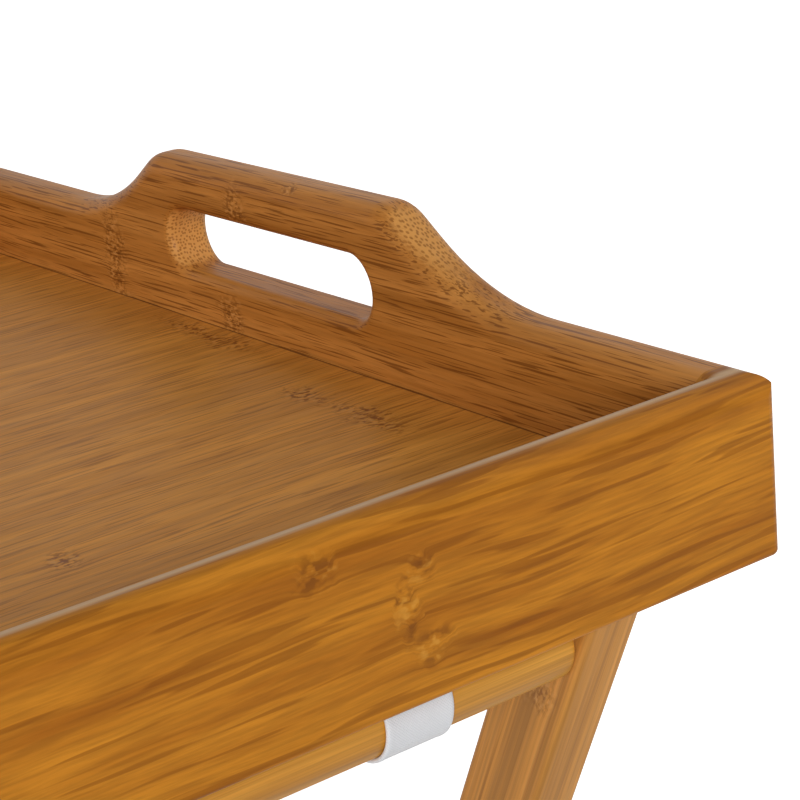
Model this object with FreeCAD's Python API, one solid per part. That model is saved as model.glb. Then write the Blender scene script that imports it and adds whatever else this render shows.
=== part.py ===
import FreeCAD, Part
import math
import os

os.makedirs("parts", exist_ok=True)

# Serving tray on a folding X-leg stand, all in bamboo, in millimetres.
# Row frame: X along the tray, Y across it, Z up from the floor, origin under the middle of the tray.
# The front is the -Y side. The outer frame leans from its top rail at the front to its feet at the
# back, and the inner frame crosses it the other way.

# Tray
tray_length = 550.0
tray_depth = 332.0
wall_height = 39.5
wall_thickness = 11.0        # the two long side walls
end_wall_thickness = 13.0
rim_round = 5.0              # the top edges of all four walls, inside and outside
corner_round = 2.5           # the upright outer edges of the tray
foot_edge_round = 1.2
floor_drop = 23.6            # from the rim down to the floor panel's upper face
panel_thickness = 5.0
groove_depth = 4.0
groove_play = 0.3            # left free at the bottom of each groove for the panel to swell

# Raised handle in each end wall
handle_rise = 19.7
handle_flat_half = 47.6
shoulder_radius = 14.0
flank_deg = 35.0
toe_radius = 71.0
slot_length = 90.0
slot_height = 16.4
slot_drop = 2.4              # from the rim down to the middle of the slot
slot_edge_round = 3.0

# Hidden dowels that join the walls at the corners
corner_dowel_diameter = 4.0
corner_dowel_in_side = 6.0
corner_dowel_in_end = 14.0

# Stand
stand_height = 618.0         # floor to the level leg tops that the side walls rest on
leg_thickness = 13.0
leg_width = 20.6
leg_edge_round = 1.5
leg_end_inset = 35.5         # from the tray's outer end face in to the outer legs' outer faces
rail_diameter = 17.5
rail_end_round = 0.8
rail_top_rise = 1.5          # top rails stand this far up inside the side walls
strap_wall_gap = 0.8         # between the wrapped strap and a side wall's inner face
bottom_rail_height = 80.0

# Screws that hold the rails to the legs
screw_shank_diameter = 4.0
screw_head_diameter = 8.0
screw_head_depth = 2.4
screw_length = 45.0
screw_recess_width = 1.2     # cross recess in the head
screw_recess_length = 4.6
screw_recess_depth = 1.3

# Pivot hardware
pivot_bolt_diameter = 6.0
pivot_bore_clearance = 0.05  # radial, in the legs that turn on the bolts
pivot_play = 0.1             # along the bolts, each side of a turning leg
pivot_head_diameter = 14.0
pivot_head_height = 3.2
pivot_socket_width = 4.0
pivot_socket_depth = 1.8
spacer_diameter = 17.0
spacer_thickness = 1.4
nut_washer_diameter = 14.0
nut_washer_thickness = 1.0
nut_width = 10.0
nut_height = 5.0
nut_cap_radius = 4.6
nut_thread_depth = 6.0

# Webbing straps that stop the stand from opening further
strap_width = 16.0
strap_thickness = 1.0
strap_seat = 0.05            # between the webbing and the rail that it goes round
strap_inset = 39.6           # from the outer legs' inner faces in to the middle of a strap
wrap_deg = 300.0             # how far round each rail the webbing goes, from the rail's crown
staple_deg = 262.0           # where round the wrap the staple sits
staple_crown = 10.0
staple_wire = 0.8
staple_leg = 5.0

# Worked out from the values above
rim_height = stand_height + wall_height
panel_top = rim_height - floor_drop
above_handles = rim_height + handle_rise + wall_height    # a height clear of the whole tray
inner_length = tray_length - 2 * end_wall_thickness
inner_depth = tray_depth - 2 * wall_thickness
rail_radius = rail_diameter / 2
wrap_inner_radius = rail_radius + strap_seat
wrap_outer_radius = wrap_inner_radius + strap_thickness
rail_centre_drop = rail_radius - rail_top_rise
wrap_reach = math.sqrt(wrap_outer_radius ** 2 - rail_centre_drop ** 2)
rail_y = tray_depth / 2 - wall_thickness - strap_wall_gap - wrap_reach
top_rail_z = stand_height - rail_centre_drop
pivot_z = top_rail_z / 2
leg_rise_per_y = (top_rail_z - pivot_z) / rail_y
leg_lean = math.atan(1 / leg_rise_per_y)      # from vertical
outer_leg_outer_x = tray_length / 2 - leg_end_inset
outer_leg_inner_x = outer_leg_outer_x - leg_thickness
inner_leg_outer_x = outer_leg_inner_x - spacer_thickness - pivot_play
inner_leg_inner_x = inner_leg_outer_x - leg_thickness
strap_x = outer_leg_inner_x - strap_inset
sides = {"right": 1, "left": -1}


def vec(x, y, z):
    return FreeCAD.Vector(x, y, z)


def box(low, high):
    """A box from its lowest to its highest corner."""
    return Part.makeBox(high[0] - low[0], high[1] - low[1], high[2] - low[2], vec(*low))


def rod(start, end, radius):
    """A round bar between two points."""
    axis = vec(*end) - vec(*start)
    return Part.makeCylinder(radius, axis.Length, vec(*start), axis)


def group(shapes):
    return Part.makeCompound(shapes)


def save(name, shape):
    shape.exportStep("parts/" + name + ".step")


def round_edges(shape, radius, wanted):
    """Rounds the edges that wanted picks."""
    return shape.makeFillet(radius, [edge for edge in shape.Edges if wanted(edge)])


def runs_along(edge, axis):
    """True for a straight edge along one axis, given as 0, 1 or 2 for X, Y or Z."""
    if not isinstance(edge.Curve, Part.Line):
        return False
    direction = edge.Curve.Direction
    return abs(abs(direction[axis]) - 1) < 1e-6


def arc_about(centre, radius, start_deg, end_deg):
    """An arc in the plane of Y and Z, with angles counted from +Y towards +Z."""
    points = []
    for angle in (start_deg, (start_deg + end_deg) / 2, end_deg):
        turn = math.radians(angle)
        points.append(vec(0, centre[0] + radius * math.cos(turn), centre[1] + radius * math.sin(turn)))
    return Part.Arc(*points).toShape()


# Tray walls

def end_outline():
    """Outline of an end wall with its raised handle, as a face at X = 0 across the whole tray."""
    half = tray_depth / 2
    top = rim_height + handle_rise
    shoulder_z = top - shoulder_radius
    toe_z = rim_height + toe_radius
    flank = math.radians(flank_deg)
    round_drop = (shoulder_radius + toe_radius) * (1 - math.cos(flank))
    flank_run = (handle_rise - round_drop) / math.tan(flank)
    toe_y = handle_flat_half + (shoulder_radius + toe_radius) * math.sin(flank) + flank_run
    left_shoulder = arc_about((-handle_flat_half, shoulder_z), shoulder_radius, 90 + flank_deg, 90)
    left_toe = arc_about((-toe_y, toe_z), toe_radius, 270, 270 + flank_deg)
    right_shoulder = arc_about((handle_flat_half, shoulder_z), shoulder_radius, 90, 90 - flank_deg)
    right_toe = arc_about((toe_y, toe_z), toe_radius, 270 - flank_deg, 270)
    chain = [left_toe, left_shoulder, right_shoulder, right_toe]
    here = vec(0, -half, rim_height)
    edges = [Part.makeLine(vec(0, -half, stand_height), here)]
    for arc in chain:
        edges.append(Part.makeLine(here, arc.Vertexes[0].Point))
        edges.append(arc)
        here = arc.Vertexes[-1].Point
    for point in (vec(0, half, rim_height), vec(0, half, stand_height), vec(0, -half, stand_height)):
        edges.append(Part.makeLine(here, point))
        here = point
    return Part.Face(Part.Wire(edges))


def slot_cutter():
    """A stadium along X that cuts both handle slots."""
    slot_z = rim_height - slot_drop
    radius = slot_height / 2
    straight = slot_length / 2 - radius
    cutter = box((-tray_length, -straight, slot_z - radius), (tray_length, straight, slot_z + radius))
    for end in (-straight, straight):
        cutter = cutter.fuse(rod((-tray_length, end, slot_z), (tray_length, end, slot_z), radius))
    return cutter.removeSplitter()


def corner_prism():
    """The tray's plan with its rounded corners, as a prism higher than the handles."""
    low = (-tray_length / 2, -tray_depth / 2, stand_height)
    high = (tray_length / 2, tray_depth / 2, above_handles)

    def upright(edge):
        return runs_along(edge, 2)

    return round_edges(box(low, high), corner_round, upright)


def wall_ring():
    """All four walls as one ring with its rounded edges, before it is parted at the corners."""
    half_x = tray_length / 2
    inner_x = inner_length / 2
    inner_y = inner_depth / 2
    outline = end_outline()
    outline.translate(vec(-half_x, 0, 0))
    ring = outline.extrude(vec(tray_length, 0, 0))
    ring = ring.cut(box((-inner_x, -inner_y, 0), (inner_x, inner_y, above_handles)))
    ring = ring.cut(slot_cutter())

    def on_slot(edge):
        middle = edge.CenterOfMass
        low = rim_height - slot_drop - slot_height
        inside = abs(middle.y) < slot_length / 2 + 1 and low < middle.z < rim_height + slot_height / 2
        return inside and not runs_along(edge, 0)

    def on_rim(edge):
        middle = edge.CenterOfMass
        along_side_wall = runs_along(edge, 0) and not across_wall(edge)
        on_end_wall = min(abs(abs(middle.x) - half_x), abs(abs(middle.x) - inner_x)) < 0.1
        high = middle.z > rim_height - 1 and not runs_along(edge, 2)
        return high and not on_slot(edge) and (along_side_wall or on_end_wall)

    def across_wall(edge):
        """Edges across the thickness of an end wall, where two faces of the handle's outline meet."""
        return runs_along(edge, 0) and edge.Length < 2 * end_wall_thickness

    def on_foot(edge):
        return edge.BoundBox.ZMax < stand_height + 0.1

    ring = round_edges(ring, rim_round, on_rim)
    ring = round_edges(ring, slot_edge_round, on_slot).common(corner_prism())
    return round_edges(ring, foot_edge_round, on_foot)


def panel_groove():
    """The groove for the floor panel, all the way round the inside of the walls."""
    reach_x = inner_length / 2 + groove_depth
    reach_y = inner_depth / 2 + groove_depth
    return box((-reach_x, -reach_y, panel_top - panel_thickness), (reach_x, reach_y, panel_top))


def corner_dowels():
    """Two hidden dowels in each corner, one midway below the panel and one midway above it."""
    below_panel = (stand_height + panel_top - panel_thickness) / 2
    above_panel = (panel_top + rim_height) / 2
    dowels = []
    for sign_x in sides.values():
        for sign_y in sides.values():
            joint_y = sign_y * inner_depth / 2
            x = sign_x * (tray_length - end_wall_thickness) / 2
            for z in (below_panel, above_panel):
                start = (x, joint_y + sign_y * corner_dowel_in_side, z)
                end = (x, joint_y - sign_y * corner_dowel_in_end, z)
                dowels.append(rod(start, end, corner_dowel_diameter / 2))
    return group(dowels)


def make_tray():
    ring = wall_ring().cut(panel_groove())
    dowels = corner_dowels()
    ring = ring.cut(dowels)
    beyond = tray_length
    for name, sign in (("front", -1), ("back", 1)):
        near = min(sign * inner_depth / 2, sign * beyond)
        far = max(sign * inner_depth / 2, sign * beyond)
        save("tray_" + name + "_wall", ring.common(box((-beyond, near, 0), (beyond, far, above_handles))))
    for name, sign in sides.items():
        near = min(0, sign * beyond)
        far = max(0, sign * beyond)
        between = box((near, -inner_depth / 2, 0), (far, inner_depth / 2, above_handles))
        save("tray_handle_end_" + name, ring.common(between))
    reach_x = inner_length / 2 + groove_depth - groove_play
    reach_y = inner_depth / 2 + groove_depth - groove_play
    save("tray_floor_panel",
         box((-reach_x, -reach_y, panel_top - panel_thickness), (reach_x, reach_y, panel_top)))
    save("tray_corner_dowels", dowels)


# Stand. A frame's lean is +1 where its legs go up towards the back and -1 where they go up towards
# the front.

def leg_y(z, lean):
    """Where a leg's middle line is at a height."""
    return lean * (z - pivot_z) / leg_rise_per_y


def leg_blank(low_x, lean):
    """A leg with level top and foot and rounded long edges."""
    half = leg_width / 2 / math.cos(leg_lean)
    foot = leg_y(0, lean)
    head = leg_y(stand_height, lean)
    corners = [
        vec(low_x, foot - half, 0),
        vec(low_x, foot + half, 0),
        vec(low_x, head + half, stand_height),
        vec(low_x, head - half, stand_height),
    ]
    leg = Part.Face(Part.makePolygon(corners + corners[:1])).extrude(vec(leg_thickness, 0, 0))

    def long_edge(edge):
        return edge.Length > stand_height

    return round_edges(leg, leg_edge_round, long_edge)


def rail_places(lean):
    """Middle lines of a frame's two rails, as pairs of Y and Z."""
    return [
        (leg_y(top_rail_z, lean), top_rail_z),
        (leg_y(bottom_rail_height, lean), bottom_rail_height),
    ]


def rail(place, half_span):
    """A round rail between two legs, with its ends eased."""
    bar = rod((-half_span, *place), (half_span, *place), rail_radius)

    def end_edge(edge):
        return isinstance(edge.Curve, Part.Circle)

    return round_edges(bar, rail_end_round, end_edge)


def rail_screw(place, face_x, sign):
    """A countersunk screw from a leg's outer face into the end of a rail."""
    y, z = place
    inward = vec(-sign, 0, 0)
    start = vec(face_x, y, z)
    head = Part.makeCone(screw_head_diameter / 2, screw_shank_diameter / 2, screw_head_depth, start, inward)
    shank = Part.makeCylinder(screw_shank_diameter / 2, screw_length, start, inward)
    return head.fuse(shank)


def screw_recess(place, face_x, sign):
    """The cross recess cut into a screw's head."""
    y, z = place
    low = min(face_x, face_x - sign * screw_recess_depth)
    high = max(face_x, face_x - sign * screw_recess_depth)
    long_half = screw_recess_length / 2
    short_half = screw_recess_width / 2
    flat = box((low, y - long_half, z - short_half), (high, y + long_half, z + short_half))
    tall = box((low, y - short_half, z - long_half), (high, y + short_half, z + long_half))
    return flat.fuse(tall)


def pivot_line(start_x, end_x, radius):
    """A round bar along the pivot's axis."""
    return rod((start_x, 0, pivot_z), (end_x, 0, pivot_z), radius)


def wrap_band(lean):
    """The webbing round a top rail, from its crown down the outside and up again on the inside."""
    y, z = rail_places(lean)[0]
    outside = lean
    low_x = -strap_width / 2
    start = 90.0
    end = start - outside * wrap_deg
    middle = (start + end) / 2
    halves = []
    for first, last in ((start, middle), (middle, end)):
        outer = arc_about((y, z), wrap_outer_radius, first, last)
        inner = arc_about((y, z), wrap_inner_radius, last, first)
        close = Part.makeLine(outer.Vertexes[-1].Point, inner.Vertexes[0].Point)
        open_side = Part.makeLine(inner.Vertexes[-1].Point, outer.Vertexes[0].Point)
        half = Part.Face(Part.Wire([outer, close, inner, open_side])).extrude(vec(strap_width, 0, 0))
        halves.append(half)
    band = halves[0].fuse(halves[1]).removeSplitter()
    band.translate(vec(low_x, 0, 0))
    return band


def staple(lean):
    """A staple across the webbing, driven towards the rail's middle line."""
    y, z = rail_places(lean)[0]
    half = staple_crown / 2
    low = wrap_outer_radius - staple_leg
    high = wrap_outer_radius + staple_wire
    wire = staple_wire / 2
    crown = box((-half, -wire, wrap_outer_radius), (half, wire, high))
    shape = crown
    for x in (-half, half - staple_wire):
        shape = shape.fuse(box((x, -wire, low), (x + staple_wire, wire, high)))
    shape = shape.removeSplitter()
    shape.rotate(vec(0, 0, 0), vec(1, 0, 0), -lean * staple_deg)
    shape.translate(vec(0, y, z))
    return shape


def moved(shape, x):
    copy = shape.copy()
    copy.translate(vec(x, 0, 0))
    return copy


def make_frame(kind, lean, outer_x, inner_x, bore_radius):
    """One leg frame: two legs, a top and a bottom rail, and the screws that hold them."""
    places = rail_places(lean)
    screws = [rail_screw(place, sign * outer_x, sign) for sign in sides.values() for place in places]
    recesses = [screw_recess(place, sign * outer_x, sign) for sign in sides.values() for place in places]
    screw_group = group(screws)
    save(kind + "_rail_screws", screw_group.cut(group(recesses)))
    for name, sign in sides.items():
        leg = leg_blank(min(sign * outer_x, sign * inner_x), lean)
        leg = leg.cut(pivot_line(sign * outer_x, sign * inner_x, bore_radius))
        save(kind + "_leg_" + name, leg.cut(screw_group))
    staples = group([moved(staple(lean), sign * strap_x) for sign in sides.values()])
    top_name = "front" if lean < 0 else "back"
    save(top_name + "_top_rail", rail(places[0], inner_x).cut(screw_group).cut(staples))
    save(kind + "_bottom_rail", rail(places[1], inner_x).cut(screw_group))
    save(top_name + "_strap_staples", staples)
    for name, sign in sides.items():
        band = moved(wrap_band(lean), sign * strap_x)
        save("strap_" + name + "_" + top_name + "_loop", band.cut(staples))


def make_strap_spans():
    """The free stretch of each strap, level from the crown of one top rail to the other's."""
    low_z = top_rail_z + wrap_inner_radius
    for name, sign in sides.items():
        middle = sign * strap_x
        low = (middle - strap_width / 2, -rail_y, low_z)
        high = (middle + strap_width / 2, rail_y, low_z + strap_thickness)
        save("strap_" + name + "_span", box(low, high))


# Pivot hardware, drawn for the right side and mirrored for the left

def pivot_bolt():
    """A low round head with a hexagon socket, and a shank through both legs into the nut."""
    head = pivot_line(outer_leg_outer_x, outer_leg_outer_x + pivot_head_height, pivot_head_diameter / 2)
    outer_face = outer_leg_outer_x + pivot_head_height

    def rim_edge(edge):
        return isinstance(edge.Curve, Part.Circle) and edge.CenterOfMass.x > outer_face - 0.1

    head = round_edges(head, pivot_head_height * 0.6, rim_edge)
    tip = inner_leg_inner_x - pivot_play - nut_washer_thickness - nut_thread_depth
    shank = pivot_line(tip, outer_leg_outer_x, pivot_bolt_diameter / 2)
    socket = hexagon(outer_face - pivot_socket_depth, outer_face, pivot_socket_width)
    return head.fuse(shank).removeSplitter().cut(socket)


def hexagon(low_x, high_x, width):
    """A hexagonal bar on the pivot's axis, with its width across the flats."""
    corner_radius = width / math.sqrt(3)
    corners = []
    for step in range(7):
        turn = math.radians(60 * step)
        corners.append(vec(low_x, corner_radius * math.cos(turn), pivot_z + corner_radius * math.sin(turn)))
    return Part.Face(Part.makePolygon(corners)).extrude(vec(high_x - low_x, 0, 0))


def cap_nut():
    """A hexagon with a domed cap, threaded on the end of the bolt."""
    seat = inner_leg_inner_x - pivot_play - nut_washer_thickness
    body = hexagon(seat - nut_height, seat, nut_width)
    dome = Part.makeSphere(nut_cap_radius, vec(seat - nut_height, 0, pivot_z))
    return body.fuse(dome).cut(pivot_line(seat - nut_thread_depth, seat, pivot_bolt_diameter / 2))


def pivot_washer(low_x, thickness, diameter, hole_radius):
    ring = pivot_line(low_x, low_x + thickness, diameter / 2)
    return ring.cut(pivot_line(low_x, low_x + thickness, hole_radius))


def mirrored_pair(shape):
    return group([shape, shape.mirror(vec(0, 0, 0), vec(1, 0, 0))])


def make_pivots():
    bolt_radius = pivot_bolt_diameter / 2
    spacer_x = outer_leg_inner_x - spacer_thickness
    washer_x = inner_leg_inner_x - pivot_play - nut_washer_thickness
    save("pivot_bolts", mirrored_pair(pivot_bolt()))
    save("pivot_spacer_washers",
         mirrored_pair(pivot_washer(spacer_x, spacer_thickness, spacer_diameter, bolt_radius)))
    save("pivot_nut_washers",
         mirrored_pair(pivot_washer(washer_x, nut_washer_thickness, nut_washer_diameter, bolt_radius)))
    save("pivot_cap_nuts", mirrored_pair(cap_nut()))


make_tray()
make_frame("outer", -1, outer_leg_outer_x, outer_leg_inner_x, pivot_bolt_diameter / 2)
make_frame("inner", 1, inner_leg_outer_x, inner_leg_inner_x, pivot_bolt_diameter / 2 + pivot_bore_clearance)
make_strap_spans()
make_pivots()
print("rail middle line at Y", round(rail_y, 2), "and Z", round(top_rail_z, 2))
print("pivot height", round(pivot_z, 2), "lean from vertical", round(math.degrees(leg_lean), 2))
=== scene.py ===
import math

import bpy
from mathutils import Matrix, Vector


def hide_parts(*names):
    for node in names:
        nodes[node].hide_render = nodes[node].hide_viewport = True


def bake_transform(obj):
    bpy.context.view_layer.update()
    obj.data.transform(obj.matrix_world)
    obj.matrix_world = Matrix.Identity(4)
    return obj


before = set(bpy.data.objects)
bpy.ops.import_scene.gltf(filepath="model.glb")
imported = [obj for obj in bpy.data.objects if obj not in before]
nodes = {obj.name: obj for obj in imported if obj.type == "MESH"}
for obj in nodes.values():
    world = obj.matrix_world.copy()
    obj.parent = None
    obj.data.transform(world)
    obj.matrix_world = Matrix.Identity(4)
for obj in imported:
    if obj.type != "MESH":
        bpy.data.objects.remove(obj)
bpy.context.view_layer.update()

mm = 0.001


def linearColour(hexText):
    channels = [int(hexText[i:i + 2], 16) / 255 for i in (1, 3, 5)]
    return [c / 12.92 if c <= 0.04045 else ((c + 0.055) / 1.055) ** 2.4 for c in channels] + [1.0]


def addNode(tree, kind, inputs=None, **settings):  # inputs: a socket to link from, or a plain value
    node = tree.nodes.new(kind)
    for name, value in settings.items():
        setattr(node, name, value)
    for socket, value in (inputs or {}).items():
        if isinstance(value, bpy.types.NodeSocket):
            tree.links.new(value, node.inputs[socket])
        else:
            node.inputs[socket].default_value = value
    return node


def newMaterial(name):
    material = bpy.data.materials.new(name)
    material.use_nodes = True
    material.node_tree.nodes.clear()
    return material, material.node_tree


# The camera stands low over the tray and looks down along it, at the corner in the photo.
cameraView = {
    "place": (-0.03556, -0.47359, 0.80491),
    "yaw": 35.363,      # degrees from +Y towards +X
    "pitch": 18.736,    # degrees down
    "roll": -5.434,
    "lens": 102.678,    # mm on a 36 mm wide sensor
}


def addCamera(view):
    yaw, pitch, roll = (math.radians(view[key]) for key in ("yaw", "pitch", "roll"))
    ahead = Vector((math.sin(yaw) * math.cos(pitch), math.cos(yaw) * math.cos(pitch), -math.sin(pitch)))
    levelRight = Vector((math.cos(yaw), -math.sin(yaw), 0))
    levelUp = levelRight.cross(ahead)
    right = math.cos(roll) * levelRight + math.sin(roll) * levelUp
    up = math.cos(roll) * levelUp - math.sin(roll) * levelRight
    camera = bpy.data.objects.new("camera", bpy.data.cameras.new("camera"))
    camera.data.sensor_width = 36
    camera.data.lens = view["lens"]
    camera.data.clip_start = 0.01
    turn = Matrix((right, up, -ahead)).transposed().to_4x4()
    camera.matrix_world = Matrix.Translation(view["place"]) @ turn
    bpy.context.scene.collection.objects.link(camera)
    bpy.context.scene.camera = camera


addCamera(cameraView)
print("camera set")


# Laminated bamboo, glued up from strips that run the whole length of a part. Each strip has its own
# tone, long fibres, dark fibre bundles that show as short dashes along the grain and as dots on a cut
# end, and a knobbly node every 20 to 30 cm. The axes of a look are grain, across and thickness.
grain = {  # what all the bamboo shares; {1: start, 2: full} are the limits of a Map Range
    "glueHalf": 0.25,              # mm, half the width of a glue line
    "stray": 12.0,                 # mm that the ring of a node strays
    "strayCount": 160.0,           # and how often, per metre
    "ringReach": 7.0,              # mm from the middle of a ring to where it ends
    "ringCore": 1.0,               # and to where it is full
    "mark": {1: 1.15, 2: 0.25},    # the same for a listed mark, in shares of its reach
    "streak": {1: 0.3, 2: 0.7},
    "fibre": {1: 0.38, 2: 0.62},
    "bundle": {1: 0.30, 2: 0.20},
    "needle": {1: 0.575, 2: 0.625},
    "ridge": {1: 0.45, 2: 0.36},   # pale parts of a node
    "ridgeShare": 0.7,
    "knot": {1: 0.5, 2: 0.6},      # dark parts of a node
    "cutEnd": {1: 0.32, 2: 0.5},   # how squarely the grain is cut; 1 is straight across
    "cutShare": 0.8,
    "dot": {1: 0.38, 2: 0.22},
    "dotShare": 0.6,
    "dotScatter": 0.7,
    "fibreHeight": 0.6,            # beside a knot, which is 1
    "bumpDepth": 0.2,              # mm
    "duller": 0.06,                # roughness added where a fibre is pale
    "shinier": 0.05,               # and taken off where it is dark
}


def grainAxes(tree, look):
    coords = addNode(tree, "ShaderNodeTexCoord")
    here, facing = coords.outputs["Object"], coords.outputs["Normal"]
    if "lean" in look:  # turns a leaning leg upright, about the pivot
        here = addNode(tree, "ShaderNodeVectorRotate", {"Vector": here, "Angle": look["lean"],
                       "Center": (0, 0, look["turnHeight"] * mm)}, rotation_type="X_AXIS").outputs[0]
        facing = addNode(tree, "ShaderNodeVectorRotate", {"Vector": facing, "Angle": look["lean"]},
                         rotation_type="X_AXIS").outputs[0]
    places = addNode(tree, "ShaderNodeSeparateXYZ", {0: here})
    facings = addNode(tree, "ShaderNodeSeparateXYZ", {0: facing})
    along, across, deep = (places.outputs[axis] for axis in look["axes"])
    alongFacing = facings.outputs[look["axes"][0]]
    endOn = addNode(tree, "ShaderNodeMath", {0: alongFacing}, operation="ABSOLUTE").outputs[0]
    return along, across, deep, endOn


def fromMiddle(tree, place):  # 0 in the middle of each whole step, 0.5 at its ends
    within = addNode(tree, "ShaderNodeMath", {0: place}, operation="FRACT").outputs[0]
    off = addNode(tree, "ShaderNodeMath", {0: within, 1: 0.5}, operation="SUBTRACT").outputs[0]
    return addNode(tree, "ShaderNodeMath", {0: off}, operation="ABSOLUTE").outputs[0]


def grainNoise(tree, point, counts, detail, roughness=0.5):
    scaled = addNode(tree, "ShaderNodeVectorMath", {0: point, 1: counts}, operation="MULTIPLY").outputs[0]
    return addNode(tree, "ShaderNodeTexNoise", {"Vector": scaled, "Scale": 1.0, "Detail": detail,
                   "Roughness": roughness}).outputs[0]


def stripTones(tree, look, across, deep):  # a chance value for each strip, and the glue lines between
    place = addNode(tree, "ShaderNodeMath", {0: across, 1: 1 / (look["stripWidth"] * mm),
                    2: look["stripShift"]}, operation="MULTIPLY_ADD").outputs[0]
    strip = addNode(tree, "ShaderNodeMath", {0: place}, operation="FLOOR").outputs[0]
    layerPlace = addNode(tree, "ShaderNodeMath", {0: deep, 1: 1 / (look["layerDepth"] * mm),
                         2: look["layerShift"]}, operation="MULTIPLY_ADD").outputs[0]
    layer = addNode(tree, "ShaderNodeMath", {0: layerPlace}, operation="FLOOR").outputs[0]
    stripName = addNode(tree, "ShaderNodeCombineXYZ", {0: strip, 1: layer, 2: look["seed"]}).outputs[0]
    chance = addNode(tree, "ShaderNodeTexWhiteNoise", {0: stripName}, noise_dimensions="3D").outputs[0]
    glueStart = 0.5 - grain["glueHalf"] / look["stripWidth"]
    glue = addNode(tree, "ShaderNodeMapRange", {0: fromMiddle(tree, place), 1: glueStart, 2: 0.5,
                   3: 0.0, 4: look["seam"]}).outputs[0]
    return chance, glue


def nodeBands(tree, look, plain, along, across, chance):  # the rings of the cane, cut through
    spacing = look["nodeSpacing"]
    jitter = addNode(tree, "ShaderNodeTexNoise", {"Vector": plain, "Scale": grain["strayCount"],
                     "Detail": 3.0}).outputs[0]
    shaken = addNode(tree, "ShaderNodeMath", {0: jitter, 1: grain["stray"] * mm, 2: along},
                     operation="MULTIPLY_ADD").outputs[0]
    steps = addNode(tree, "ShaderNodeMath", {0: shaken, 1: 1 / (spacing * mm), 2: chance},
                    operation="MULTIPLY_ADD").outputs[0]
    band = addNode(tree, "ShaderNodeMapRange", {0: fromMiddle(tree, steps), 1: grain["ringReach"] / spacing,
                   2: grain["ringCore"] / spacing, 3: 0.0, 4: 1.0}, interpolation_type="SMOOTHSTEP").outputs[0]
    start, end = look["quiet"]
    quiet = addNode(tree, "ShaderNodeMath", {0: along, 1: (start + end) / 2 * mm, 2: (end - start) / 2 * mm},
                    operation="COMPARE").outputs[0]
    kept = addNode(tree, "ShaderNodeMath", {0: 1.0, 1: quiet}, operation="SUBTRACT").outputs[0]
    band = addNode(tree, "ShaderNodeMath", {0: band, 1: kept}, operation="MULTIPLY").outputs[0]
    shakenPoint = addNode(tree, "ShaderNodeCombineXYZ", {0: shaken, 1: across}).outputs[0]
    for place, reach in look["marks"]:  # along and across; half the stray is what it adds on average
        middle = ((place[0] + grain["stray"] / 2) * mm, place[1] * mm, 0)
        perReach = (1 / (reach[0] * mm), 1 / (reach[1] * mm), 0)
        away = addNode(tree, "ShaderNodeVectorMath", {0: shakenPoint, 1: middle},
                       operation="SUBTRACT").outputs[0]
        scaled = addNode(tree, "ShaderNodeVectorMath", {0: away, 1: perReach}, operation="MULTIPLY").outputs[0]
        distance = addNode(tree, "ShaderNodeVectorMath", {0: scaled}, operation="LENGTH").outputs["Value"]
        mark = addNode(tree, "ShaderNodeMapRange", {0: distance, **grain["mark"], 3: 0.0, 4: 1.0},
                       interpolation_type="SMOOTHSTEP").outputs[0]
        band = addNode(tree, "ShaderNodeMath", {0: band, 1: mark}, operation="MAXIMUM").outputs[0]
    return band


def fibres(tree, look, plain, along, across, deep, band):  # streaks, fibres and the dark dashes
    drift = grainNoise(tree, plain, look["waves"], 2.0)
    sway = addNode(tree, "ShaderNodeMath", {0: drift, 1: 0.5}, operation="SUBTRACT").outputs[0]
    bent = addNode(tree, "ShaderNodeMath", {0: sway, 1: look["wander"] * mm, 2: across},
                   operation="MULTIPLY_ADD").outputs[0]
    curl = addNode(tree, "ShaderNodeMath", {0: band, 1: look["curl"] * mm, 2: bent},
                   operation="MULTIPLY_ADD").outputs[0]
    bentPoint = addNode(tree, "ShaderNodeCombineXYZ", {0: along, 1: curl, 2: deep}).outputs[0]
    broad = grainNoise(tree, bentPoint, look["broad"], 4.0, 0.55)
    fine = grainNoise(tree, bentPoint, look["fine"], 3.0, 0.6)
    bundlePoint = addNode(tree, "ShaderNodeVectorMath", {0: bentPoint, 1: look["bundles"]},
                          operation="MULTIPLY").outputs[0]
    bundle = addNode(tree, "ShaderNodeTexVoronoi", {"Vector": bundlePoint, "Scale": 1.0}).outputs["Distance"]
    dash = addNode(tree, "ShaderNodeMapRange", {0: bundle, **grain["bundle"], 3: 0.0,
                   4: look["dash"]}).outputs[0]
    needle = grainNoise(tree, bentPoint, look["needles"], 1.0)
    thinDash = addNode(tree, "ShaderNodeMapRange", {0: needle, **grain["needle"], 3: 0.0,
                       4: look["needle"]}).outputs[0]
    dashes = addNode(tree, "ShaderNodeMath", {0: dash, 1: thinDash}, operation="MAXIMUM").outputs[0]
    return broad, fine, dashes


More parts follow.
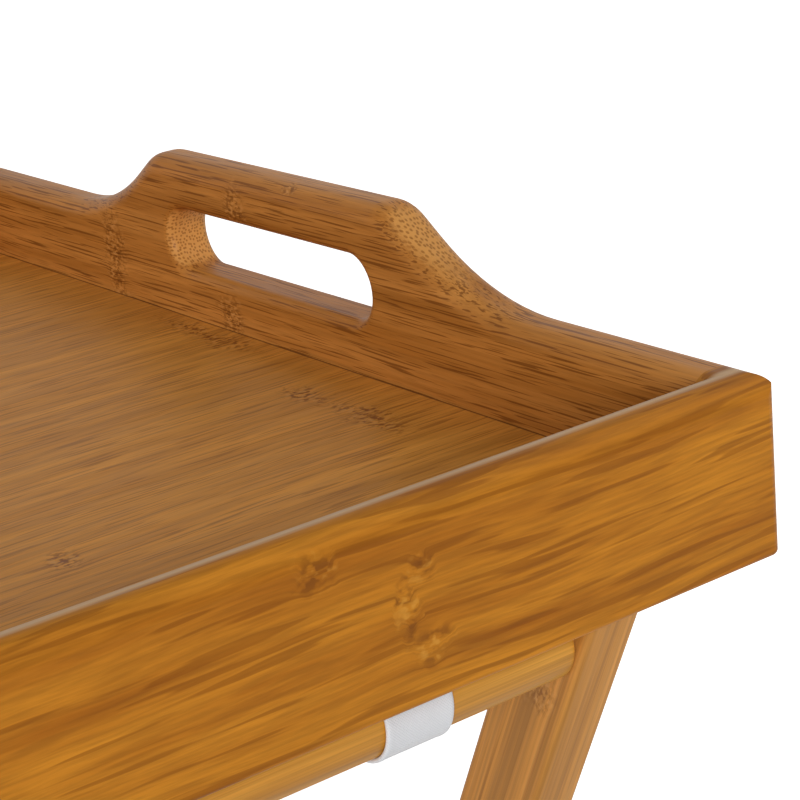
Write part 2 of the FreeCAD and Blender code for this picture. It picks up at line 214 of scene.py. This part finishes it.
def bambooColour(tree, look, broad, fine, dashes, chance, glue, band, speck):
    streak = addNode(tree, "ShaderNodeMapRange", {0: broad, **grain["streak"], 3: 0.0, 4: 1.0}).outputs[0]
    tones = addNode(tree, "ShaderNodeMix", {0: streak, 6: linearColour(look["dark"]),
                    7: linearColour(look["light"])}, data_type="RGBA").outputs[2]
    stripTone = addNode(tree, "ShaderNodeMapRange", {0: chance, 1: 0.0, 2: 1.0,
                        3: 1 - look["stripContrast"], 4: 1 + look["stripContrast"]}).outputs[0]
    fibreTone = addNode(tree, "ShaderNodeMapRange", {0: fine, **grain["fibre"],
                        3: 1 - look["fibreContrast"], 4: 1 + look["fibreContrast"]}).outputs[0]
    tone = addNode(tree, "ShaderNodeMath", {0: stripTone, 1: fibreTone}, operation="MULTIPLY").outputs[0]
    colour = addNode(tree, "ShaderNodeVectorMath", {0: tones, "Scale": tone}, operation="SCALE").outputs[0]
    pale = addNode(tree, "ShaderNodeMapRange", {0: speck, **grain["ridge"], 3: 0.0,
                   4: grain["ridgeShare"]}).outputs[0]
    ridge = addNode(tree, "ShaderNodeMath", {0: pale, 1: band}, operation="MULTIPLY").outputs[0]
    dark = addNode(tree, "ShaderNodeMapRange", {0: speck, **grain["knot"], 3: 0.0,
                   4: look["nodeStrength"]}).outputs[0]
    knot = addNode(tree, "ShaderNodeMath", {0: dark, 1: band}, operation="MULTIPLY").outputs[0]
    for share, tint in ((dashes, "bundleColour"), (ridge, "ridgeColour"), (knot, "nodeColour"),
                        (glue, "nodeColour")):
        colour = addNode(tree, "ShaderNodeMix", {0: share, 6: colour, 7: linearColour(look[tint])},
                         data_type="RGBA").outputs[2]
    return colour, knot


def cutEnd(tree, look, colour, across, deep, endOn):  # where the grain is cut: paler, with bundle dots
    share = addNode(tree, "ShaderNodeMapRange", {0: endOn, **grain["cutEnd"], 3: 0.0,
                    4: grain["cutShare"]}).outputs[0]
    face = addNode(tree, "ShaderNodeCombineXYZ", {0: across, 1: deep}).outputs[0]
    dotPlace = addNode(tree, "ShaderNodeTexVoronoi", {"Vector": face, "Randomness": grain["dotScatter"],
                       "Scale": 1 / (look["dotSpacing"] * mm)}, voronoi_dimensions="2D").outputs["Distance"]
    dot = addNode(tree, "ShaderNodeMapRange", {0: dotPlace, **grain["dot"], 3: 0.0,
                  4: grain["dotShare"]}).outputs[0]
    dotted = addNode(tree, "ShaderNodeMix", {0: dot, 6: linearColour(look["cutColour"]),
                     7: linearColour(look["bundleColour"])}, data_type="RGBA").outputs[2]
    return addNode(tree, "ShaderNodeMix", {0: share, 6: colour, 7: dotted}, data_type="RGBA").outputs[2]


# A thin line at the same distance on both sides of the middle of the piece. It draws the dark line of the
# floor's joint, which is partly painted shade of the gap there, and the painted highlight along the side walls'
# inner top edge.
def lineAt(tree, line, colour, place, across):
    distance = addNode(tree, "ShaderNodeMath", {0: place}, operation="ABSOLUTE").outputs[0]
    past = addNode(tree, "ShaderNodeMath", {0: distance, 1: line["middle"] * mm},
                   operation="SUBTRACT").outputs[0]
    off = addNode(tree, "ShaderNodeMath", {0: past}, operation="ABSOLUTE").outputs[0]
    share = addNode(tree, "ShaderNodeMapRange", {0: off, 1: line["half"] * mm, 2: line["half"] * mm / 3,
                    3: 0.0, 4: line["share"]}).outputs[0]
    if "above" in line:  # fades in over the millimetre below that height
        high = addNode(tree, "ShaderNodeMapRange", {0: across, 1: (line["above"] - 1) * mm,
                       2: line["above"] * mm, 3: 0.0, 4: 1.0}).outputs[0]
        share = addNode(tree, "ShaderNodeMath", {0: share, 1: high}, operation="MULTIPLY").outputs[0]
    return addNode(tree, "ShaderNodeMix", {0: share, 6: colour, 7: linearColour(line["colour"])},
                   data_type="RGBA").outputs[2]


def bambooMaterial(look):
    material, tree = newMaterial(look["name"])
    along, across, deep, endOn = grainAxes(tree, look)
    plain = addNode(tree, "ShaderNodeCombineXYZ", {0: along, 1: across, 2: deep}).outputs[0]
    chance, glue = stripTones(tree, look, across, deep)
    band = nodeBands(tree, look, plain, along, across, chance)
    broad, fine, dashes = fibres(tree, look, plain, along, across, deep, band)
    speck = grainNoise(tree, plain, look["specks"], 2.0)
    colour, knot = bambooColour(tree, look, broad, fine, dashes, chance, glue, band, speck)
    colour = cutEnd(tree, look, colour, across, deep, endOn)
    # a dark line where the floor meets the end walls: partly the joint's own dark, partly painted shade of the
    # gap there
    if "joint" in look:
        colour = lineAt(tree, look["joint"], colour, along, across)
    # painted highlight: a pale line along the inner top edge, where the rounded rim would catch the light
    if "paintedEdgeHighlight" in look:
        colour = lineAt(tree, look["paintedEdgeHighlight"], colour, deep, across)

    height = addNode(tree, "ShaderNodeMath", {0: fine, 1: grain["fibreHeight"], 2: knot},
                     operation="MULTIPLY_ADD").outputs[0]
    bump = addNode(tree, "ShaderNodeBump", {"Strength": look["relief"], "Distance": grain["bumpDepth"] * mm,
                   "Height": height}, invert=True).outputs[0]
    rough = addNode(tree, "ShaderNodeMapRange", {0: fine, **grain["streak"],
                    3: look["roughness"] - grain["shinier"], 4: look["roughness"] + grain["duller"]}).outputs[0]
    shader = addNode(tree, "ShaderNodeBsdfPrincipled", {"Base Color": colour, "Roughness": rough,
                     "Normal": bump, "IOR": 1.5, "Specular IOR Level": look["gloss"]})
    addNode(tree, "ShaderNodeOutputMaterial", {0: shader.outputs[0]})
    return material


# Carbonised bamboo is steamed until it turns honey brown; here it is sanded and given a satin lacquer.
# Sizes are in mm. Noise counts are per metre, along, across and through: 650 across is a 0.8 mm fibre.
# "quiet" is a stretch along the grain where nodes come only from "marks": ((along, across), reaches).
sideWallLook = {
    "name": "carbonisedBambooLacquered.sideWall",
    "axes": ("X", "Z", "Y"),
    "stripWidth": 18.5, "stripShift": 0.08, "layerDepth": 5.25, "layerShift": 0.1, "seed": 1.0,
    "stripContrast": 0.04, "fibreContrast": 0.13, "waves": (10, 34, 34), "wander": 7.0, "curl": 1.8,
    "broad": (13, 170, 170), "fine": (60, 1000, 1000), "bundles": (34, 620, 620), "dash": 0.18,
    "needles": (28, 600, 600), "needle": 0.48, "specks": (300, 460, 460),
    "light": "#C17D22", "dark": "#9B5B14", "bundleColour": "#7A4108", "nodeColour": "#74400E",
    "ridgeColour": "#D1933A", "cutColour": "#B87A30", "dotSpacing": 1.3,
    "nodeSpacing": 260, "nodeStrength": 0.75, "seam": 0.12,
    "relief": 0.12, "roughness": 0.42, "gloss": 0.1,
    # painted highlight: the pale line along the inner top edge of the wall, where the rounding catches the
    # light
    "paintedEdgeHighlight": {"middle": 159.2, "half": 2.1, "above": 655.8, "share": 0.7, "colour": "#DDBB92"},
    "quiet": (95, 280),
    "marks": [((184, 645), (3.5, 3.5)), ((185, 629), (5, 5)), ((181, 637), (2.5, 9)), ((161, 651), (5, 4.5))],
}
endWallLook = {
    "name": "carbonisedBambooLacquered.endWall",
    "axes": ("Y", "Z", "X"),
    "stripWidth": 20, "stripShift": 0.35, "layerDepth": 6.5, "layerShift": 0.31, "seed": 2.0,
    "stripContrast": 0.05, "fibreContrast": 0.08, "waves": (5, 18, 18), "wander": 4.0, "curl": 0.5,
    "broad": (8, 180, 180), "fine": (30, 1300, 1300), "bundles": (70, 1600, 1600), "dash": 0.26,
    "needles": (45, 1900, 1900), "needle": 0.70, "specks": (650, 1200, 1200),
    "light": "#CF8C43", "dark": "#A96A28", "bundleColour": "#6A370B", "nodeColour": "#64330B",
    "ridgeColour": "#D89A55", "cutColour": "#DC9D54", "dotSpacing": 0.95,
    "nodeSpacing": 240, "nodeStrength": 0.62, "seam": 0.12,
    "relief": 0.2, "roughness": 0.42, "gloss": 0.12,
    "quiet": (-170, 130),
    "marks": [((76, 645), (7, 20)), ((11, 668), (6, 8)), ((17, 638), (6, 7)), ((-13, 676), (3, 1.5))],
}
floorLook = {
    "name": "laminatedBambooLacquered.floor",
    "axes": ("X", "Y", "Z"),
    "stripWidth": 19, "stripShift": 0.2, "layerDepth": 5, "layerShift": 0.3, "seed": 3.0,
    "stripContrast": 0.06, "fibreContrast": 0.10, "waves": (7, 22, 22), "wander": 4.0, "curl": 0.8,
    "broad": (13, 200, 200), "fine": (44, 900, 900), "bundles": (50, 900, 900), "dash": 0.20,
    "needles": (50, 1300, 1300), "needle": 0.50, "specks": (520, 800, 800),
    "light": "#D8943F", "dark": "#BD7D31", "bundleColour": "#80491A", "nodeColour": "#783F12",
    "ridgeColour": "#D09650", "cutColour": "#C08A48", "dotSpacing": 1.3,
    "nodeSpacing": 270, "nodeStrength": 0.85, "seam": 0.16,
    "relief": 0.15, "roughness": 0.46, "gloss": 0.1,
    # dark line at the floor's joint with the end walls: partly the joint's own dark, partly painted shade of
    # the gap
    "joint": {"middle": 261.9, "half": 0.6, "share": 0.85, "colour": "#5A2E0A"},
    "quiet": (0, 270),
    "marks": [((244, -42), (5, 12)), ((244, -66), (5, 20)), ((256, 22), (5, 30)), ((154, -87), (5, 7))],
}

# The stand in mm, as the CAD model has it: the top rails' middle lines, and the pivot half way up.
stand = {"railOut": 147.606, "railHeight": 610.75, "pivotHeight": 305.375}
legLean = math.atan(stand["railOut"] / (stand["railHeight"] - stand["pivotHeight"]))

legLook = {
    "name": "carbonisedBambooLacquered.leg",
    "axes": ("Z", "Y", "X"), "turnHeight": stand["pivotHeight"],
    "stripWidth": 5.2, "stripShift": 0.4, "layerDepth": 13, "layerShift": 0.5, "seed": 4.0,
    "stripContrast": 0.10, "fibreContrast": 0.14, "waves": (5, 18, 18), "wander": 1.5, "curl": 0.8,
    "broad": (5, 420, 300), "fine": (12, 900, 800), "bundles": (20, 800, 700), "dash": 0.2,
    "needles": (16, 1200, 1200), "needle": 0.3, "specks": (520, 900, 900),
    "light": "#D2944A", "dark": "#B07834", "bundleColour": "#85501D", "nodeColour": "#744216",
    "ridgeColour": "#D8A260", "cutColour": "#C48F50", "dotSpacing": 1.3,
    "nodeSpacing": 250, "nodeStrength": 0.6, "seam": 0.2,
    "relief": 0.15, "roughness": 0.45, "gloss": 0.14,
    "quiet": (560, 700), "marks": [((630, -2), (5, 6))],
}
railLook = {
    "name": "turnedBambooLacquered.rail",
    "axes": ("X", "Z", "Y"),
    "stripWidth": 5.5, "stripShift": 0.1, "layerDepth": 5.5, "layerShift": 0.3, "seed": 5.0,
    "stripContrast": 0.09, "fibreContrast": 0.12, "waves": (5, 18, 18), "wander": 1.0, "curl": 0.8,
    "broad": (5, 300, 300), "fine": (14, 1000, 1000), "bundles": (30, 700, 700), "dash": 0.12,
    "needles": (12, 1200, 1200), "needle": 0.2, "specks": (520, 900, 900),
    "light": "#D89C3E", "dark": "#B47828", "bundleColour": "#8A5418", "nodeColour": "#804C14",
    "ridgeColour": "#DCA650", "cutColour": "#CC9850", "dotSpacing": 1.3,
    "nodeSpacing": 280, "nodeStrength": 0.5, "seam": 0.15,
    "relief": 0.12, "roughness": 0.40, "gloss": 0.2,
    "quiet": (100, 230), "marks": [],
}
outerLegLook = dict(legLook, name=legLook["name"] + "Outer", lean=-legLean)
innerLegLook = dict(legLook, name=legLook["name"] + "Inner", lean=legLean, seed=6.0)
dowelLook = dict(railLook, name="plainBamboo.cornerDowel", light="#E2C08A", dark="#CDA468", seed=7.0)

bambooParts = [
    (sideWallLook, ["tray_front_wall", "tray_back_wall"]),
    (endWallLook, ["tray_handle_end_right", "tray_handle_end_left"]),
    (floorLook, ["tray_floor_panel"]),
    (dowelLook, ["tray_corner_dowels"]),
    (outerLegLook, ["outer_leg_right", "outer_leg_left"]),
    (innerLegLook, ["inner_leg_right", "inner_leg_left"]),
    (railLook, ["front_top_rail", "back_top_rail", "outer_bottom_rail", "inner_bottom_rail"]),
]


def coverNode(name, material):
    for slot in nodes[name].material_slots:
        slot.material = material


for look, names in bambooParts:
    bamboo = bambooMaterial(look)
    for name in names:
        coverNode(name, bamboo)
print("bamboo parts finished")


# Bright zinc plated steel: a thin cold plating over drawn steel, silver with a faint cloudy haze.
zincLook = {"colour": "#C9CBCD", "haze": "#A9ADB2", "hazeSize": 2.2, "clear": 0.22, "clouded": 0.38}


def zincMaterial(look):
    material, tree = newMaterial("zincPlatedSteel")
    here = addNode(tree, "ShaderNodeTexCoord").outputs["Object"]
    cloud = addNode(tree, "ShaderNodeTexNoise", {"Vector": here, "Scale": 1 / (look["hazeSize"] * mm),
                    "Detail": 3.0}).outputs[0]
    colour = addNode(tree, "ShaderNodeMix", {0: cloud, 6: linearColour(look["colour"]),
                     7: linearColour(look["haze"])}, data_type="RGBA").outputs[2]
    rough = addNode(tree, "ShaderNodeMapRange", {0: cloud, 3: look["clear"], 4: look["clouded"]}).outputs[0]
    shader = addNode(tree, "ShaderNodeBsdfPrincipled", {"Base Color": colour, "Roughness": rough,
                     "Metallic": 1.0})
    addNode(tree, "ShaderNodeOutputMaterial", {0: shader.outputs[0]})
    return material


# Moulded nylon, off white and slightly waxy, with the fine skin of the mould.
nylonLook = {"colour": "#E4E2DA", "roughness": 0.5, "skin": 0.4}


def nylonMaterial(look):
    material, tree = newMaterial("mouldedNylon")
    here = addNode(tree, "ShaderNodeTexCoord").outputs["Object"]
    skin = addNode(tree, "ShaderNodeTexNoise", {"Vector": here, "Scale": 1 / (look["skin"] * mm)}).outputs[0]
    bump = addNode(tree, "ShaderNodeBump", {"Strength": 0.1, "Distance": 0.0001, "Height": skin}).outputs[0]
    shader = addNode(tree, "ShaderNodeBsdfPrincipled", {"Base Color": linearColour(look["colour"]),
                     "Roughness": look["roughness"], "IOR": 1.53, "Subsurface Weight": 0.1,
                     "Subsurface Radius": (0.002, 0.002, 0.002), "Normal": bump})
    addNode(tree, "ShaderNodeOutputMaterial", {0: shader.outputs[0]})
    return material


zinc = zincMaterial(zincLook)
for name in ("outer_rail_screws", "inner_rail_screws", "pivot_bolts", "pivot_nut_washers", "pivot_cap_nuts",
             "front_strap_staples", "back_strap_staples"):
    coverNode(name, zinc)
coverNode("pivot_spacer_washers", nylonMaterial(nylonLook))
print("fittings finished")


# The stop straps: one length of white polyester webbing on each side. It goes round the front rail,
# level across to the back rail and round that, and is stapled at both ends.
strapLook = {
    "width": 16.0,
    "thickness": 1.0,
    "selvedge": 1.3,      # the bound edge, a little thicker than the middle
    "middle": 186.9,      # from the middle of the table to the middle of a strap
    "railY": stand["railOut"],
    "railZ": stand["railHeight"],
    "innerRadius": 8.8,
    "wrap": 300,          # degrees round each rail
    "blendInset": 3.0,    # from the inside of a rail to where the webbing starts to follow the other frame
    "colour": "#E6E7EB",
    # painted shade, mixed into the low parts of the weave
    "weaveHollowShade": "#B9BCC4",
    "yarn": 0.62,         # spacing of the warp yarns; a real 0.4 mm is drawn coarser so that it shows
    "uvPerMetre": 10,
}


def strapPath(look):  # middle line of the webbing, as points and outward directions in the YZ plane
    radius = look["innerRadius"] + look["thickness"] / 2
    wrapSteps, spanSteps = 60, 48
    front = []
    for i in range(wrapSteps + 1):
        turn = math.radians(90 + look["wrap"] * (1 - i / wrapSteps))
        out = (math.cos(turn), math.sin(turn))
        front.append(((-look["railY"] + radius * out[0], look["railZ"] + radius * out[1]), out))
    level = look["railZ"] + radius
    span = [((-look["railY"] + 2 * look["railY"] * i / spanSteps, level), (0, 1))
            for i in range(1, spanSteps)]
    back = [((-y, z), (-outY, outZ)) for (y, z), (outY, outZ) in reversed(front)]
    return front + span + back


# Across the webbing: place from its middle, and half thickness there. The edges are thin and rounded,
# the selvedge is full, and the middle is a little flatter.
def strapProfile(look):
    half = look["width"] / 2
    full = look["thickness"] / 2
    inner = half - look["selvedge"]
    return [(-half, full * 0.35), (-half + 0.25, full * 0.85), (-half + 0.6, full), (-inner, full * 0.96),
            (-inner + 0.3, full * 0.86), (-inner / 2, full * 0.88), (0, full * 0.9), (inner / 2, full * 0.88),
            (inner - 0.3, full * 0.86), (inner, full * 0.96), (half - 0.6, full), (half - 0.25, full * 0.85),
            (half, full * 0.35)]


def makeStrap(name, sign, look):
    path = strapPath(look)
    profile = strapProfile(look)
    ring = [(x, lift) for x, lift in profile] + [(x, -lift) for x, lift in reversed(profile)]
    points, faces, travelled, lengths = [], [], 0.0, []
    for i, ((y, z), (outY, outZ)) in enumerate(path):
        if i:
            travelled += math.dist((y, z), path[i - 1][0])
        lengths.append(travelled)
        for x, lift in ring:
            points.append(((sign * look["middle"] + x) * mm, (y + lift * outY) * mm, (z + lift * outZ) * mm))
    count = len(ring)
    for i in range(len(path) - 1):
        for j in range(count):
            beside = (j + 1) % count
            faces.append((i * count + j, i * count + beside, (i + 1) * count + beside, (i + 1) * count + j))
    faces.append(tuple(range(count)))
    last = (len(path) - 1) * count
    faces.append(tuple(last + j for j in reversed(range(count))))
    mesh = bpy.data.meshes.new(name)
    mesh.from_pydata(points, [], faces)
    mesh.validate()
    mesh.polygons.foreach_set("use_smooth", [True] * len(mesh.polygons))
    layer = mesh.uv_layers.new(name="webbing")
    for loop in mesh.loops:
        i, j = divmod(loop.vertex_index, count)
        layer.data[loop.index].uv = [length * mm * look["uvPerMetre"] for length in (ring[j][0], lengths[i])]
    strap = bpy.data.objects.new(name, mesh)
    bpy.context.scene.collection.objects.link(strap)
    return strap, travelled


# Polyester webbing, plain woven and flat: bluish white, with a soft sheen and fine ribs across. The low parts
# of the weave and its fuzz carry painted shade.
def webbingMaterial(look):
    material, tree = newMaterial("wovenPolyesterWebbing")
    here = addNode(tree, "ShaderNodeUVMap", uv_map="webbing").outputs[0]
    sides = addNode(tree, "ShaderNodeSeparateXYZ", {0: here})
    pitch = 2 * math.pi / (look["uvPerMetre"] * look["yarn"] * mm)
    warp = addNode(tree, "ShaderNodeMath", {0: sides.outputs[0], 1: pitch}, operation="MULTIPLY").outputs[0]
    weft = addNode(tree, "ShaderNodeMath", {0: sides.outputs[1], 1: pitch}, operation="MULTIPLY").outputs[0]
    warpWave = addNode(tree, "ShaderNodeMath", {0: warp}, operation="SINE").outputs[0]
    weftWave = addNode(tree, "ShaderNodeMath", {0: weft}, operation="SINE").outputs[0]
    weave = addNode(tree, "ShaderNodeMath", {0: warpWave, 1: weftWave}, operation="MULTIPLY").outputs[0]
    fuzz = addNode(tree, "ShaderNodeTexNoise", {"Vector": here, "Scale": 90.0, "Detail": 4.0}).outputs[0]
    height = addNode(tree, "ShaderNodeMath", {0: fuzz, 1: 0.8, 2: weave}, operation="MULTIPLY_ADD").outputs[0]
    # painted shade: the lower the weave and its fuzz, the more of the shade colour
    tint = addNode(tree, "ShaderNodeMapRange", {0: height, 1: -0.9, 2: 0.9, 3: 0.25, 4: 0.0}).outputs[0]
    colour = addNode(tree, "ShaderNodeMix", {0: tint, 6: linearColour(look["colour"]),
                     7: linearColour(look["weaveHollowShade"])}, data_type="RGBA").outputs[2]
    bump = addNode(tree, "ShaderNodeBump", {"Strength": 0.35, "Distance": 0.00015, "Height": height}).outputs[0]
    shader = addNode(tree, "ShaderNodeBsdfPrincipled", {"Base Color": colour, "Roughness": 0.78, "IOR": 1.53,
                     "Sheen Weight": 0.25, "Sheen Roughness": 0.4, "Normal": bump})
    addNode(tree, "ShaderNodeOutputMaterial", {0: shader.outputs[0]})
    return material


webbing = webbingMaterial(strapLook)
for side, sign in (("right", 1), ("left", -1)):
    strap, strapLength = makeStrap("strap_" + side, sign, strapLook)
    strap.data.materials.append(webbing)
    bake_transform(strap)
    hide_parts("strap_" + side + "_front_loop", "strap_" + side + "_span", "strap_" + side + "_back_loop")
print("straps woven, each", round(strapLength), "mm long")


# Plain studio: a pale floor, an even white surround and two large soft lamps.
studio = {
    "floorColour": "#EDEDEB",
    "floorHalf": 12.0,
    "nearGlow": 0.45,     # the floor brightens outwards into a white backdrop
    "farGlow": 1.0,
    "glowReach": (0.5, 1.3),
    "surround": 0.25,
    "lamps": [  # name, place, watts, size
        ("keyLamp", (-1.35, -2.15, 1.5), 46, 1.2),
        ("sideLamp", (1.7, -0.6, 1.6), 7, 1.4),
    ],
    "aim": (0.15, 0.0, 0.62),
}


def eyeRays(tree):  # 1 where the camera sees something, straight, mirrored or through a clear piece
    rays = addNode(tree, "ShaderNodeLightPath")
    seen = addNode(tree, "ShaderNodeMath", {0: rays.outputs["Is Camera Ray"],
                   1: rays.outputs["Is Glossy Ray"]}, operation="MAXIMUM").outputs[0]
    return addNode(tree, "ShaderNodeMath", {0: seen, 1: rays.outputs["Is Transmission Ray"]},
                   operation="MAXIMUM").outputs[0]


# Matt floor paint, a warm white without any sheen, that catches the soft shadow of the stand.
def addFloor(look):
    half = look["floorHalf"]
    mesh = bpy.data.meshes.new("studioFloor")
    mesh.from_pydata([(-half, -half, 0), (half, -half, 0), (half, half, 0), (-half, half, 0)], [],
                     [(0, 1, 2, 3)])
    floor = bpy.data.objects.new("studioFloor", mesh)
    bpy.context.scene.collection.objects.link(floor)
    material, tree = newMaterial("paintedStudioFloor")
    seen = eyeRays(tree)
    place = addNode(tree, "ShaderNodeTexCoord").outputs["Object"]
    distance = addNode(tree, "ShaderNodeVectorMath", {0: place}, operation="LENGTH").outputs["Value"]
    near, far = look["glowReach"]
    glow = addNode(tree, "ShaderNodeMapRange", {0: distance, 1: near, 2: far, 3: look["nearGlow"],
                   4: look["farGlow"]}, interpolation_type="SMOOTHSTEP").outputs[0]
    lift = addNode(tree, "ShaderNodeMath", {0: seen, 1: glow}, operation="MULTIPLY").outputs[0]
    shader = addNode(tree, "ShaderNodeBsdfPrincipled", {"Base Color": linearColour(look["floorColour"]),
                     "Roughness": 0.9, "Emission Color": (1, 1, 1, 1), "Emission Strength": lift})
    addNode(tree, "ShaderNodeOutputMaterial", {0: shader.outputs[0]})
    mesh.materials.append(material)


def addSurround(look):
    world = bpy.data.worlds.new("surround")
    bpy.context.scene.world = world
    world.use_nodes = True
    tree = world.node_tree
    tree.nodes.clear()
    strength = addNode(tree, "ShaderNodeMapRange", {0: eyeRays(tree), 3: look["surround"], 4: 1.0}).outputs[0]
    shader = addNode(tree, "ShaderNodeBackground", {0: (1, 1, 1, 1), 1: strength})
    addNode(tree, "ShaderNodeOutputWorld", {0: shader.outputs[0]})


def addLamps(look):
    for name, place, watts, size in look["lamps"]:
        lamp = bpy.data.lights.new(name, "AREA")
        lamp.energy = watts
        lamp.size = size
        holder = bpy.data.objects.new(name, lamp)
        holder.location = place
        holder.rotation_euler = (Vector(look["aim"]) - Vector(place)).to_track_quat("-Z", "Y").to_euler()
        bpy.context.scene.collection.objects.link(holder)


addFloor(studio)
addSurround(studio)
addLamps(studio)
bpy.context.scene.view_settings.view_transform = "Standard"
print("studio lit")
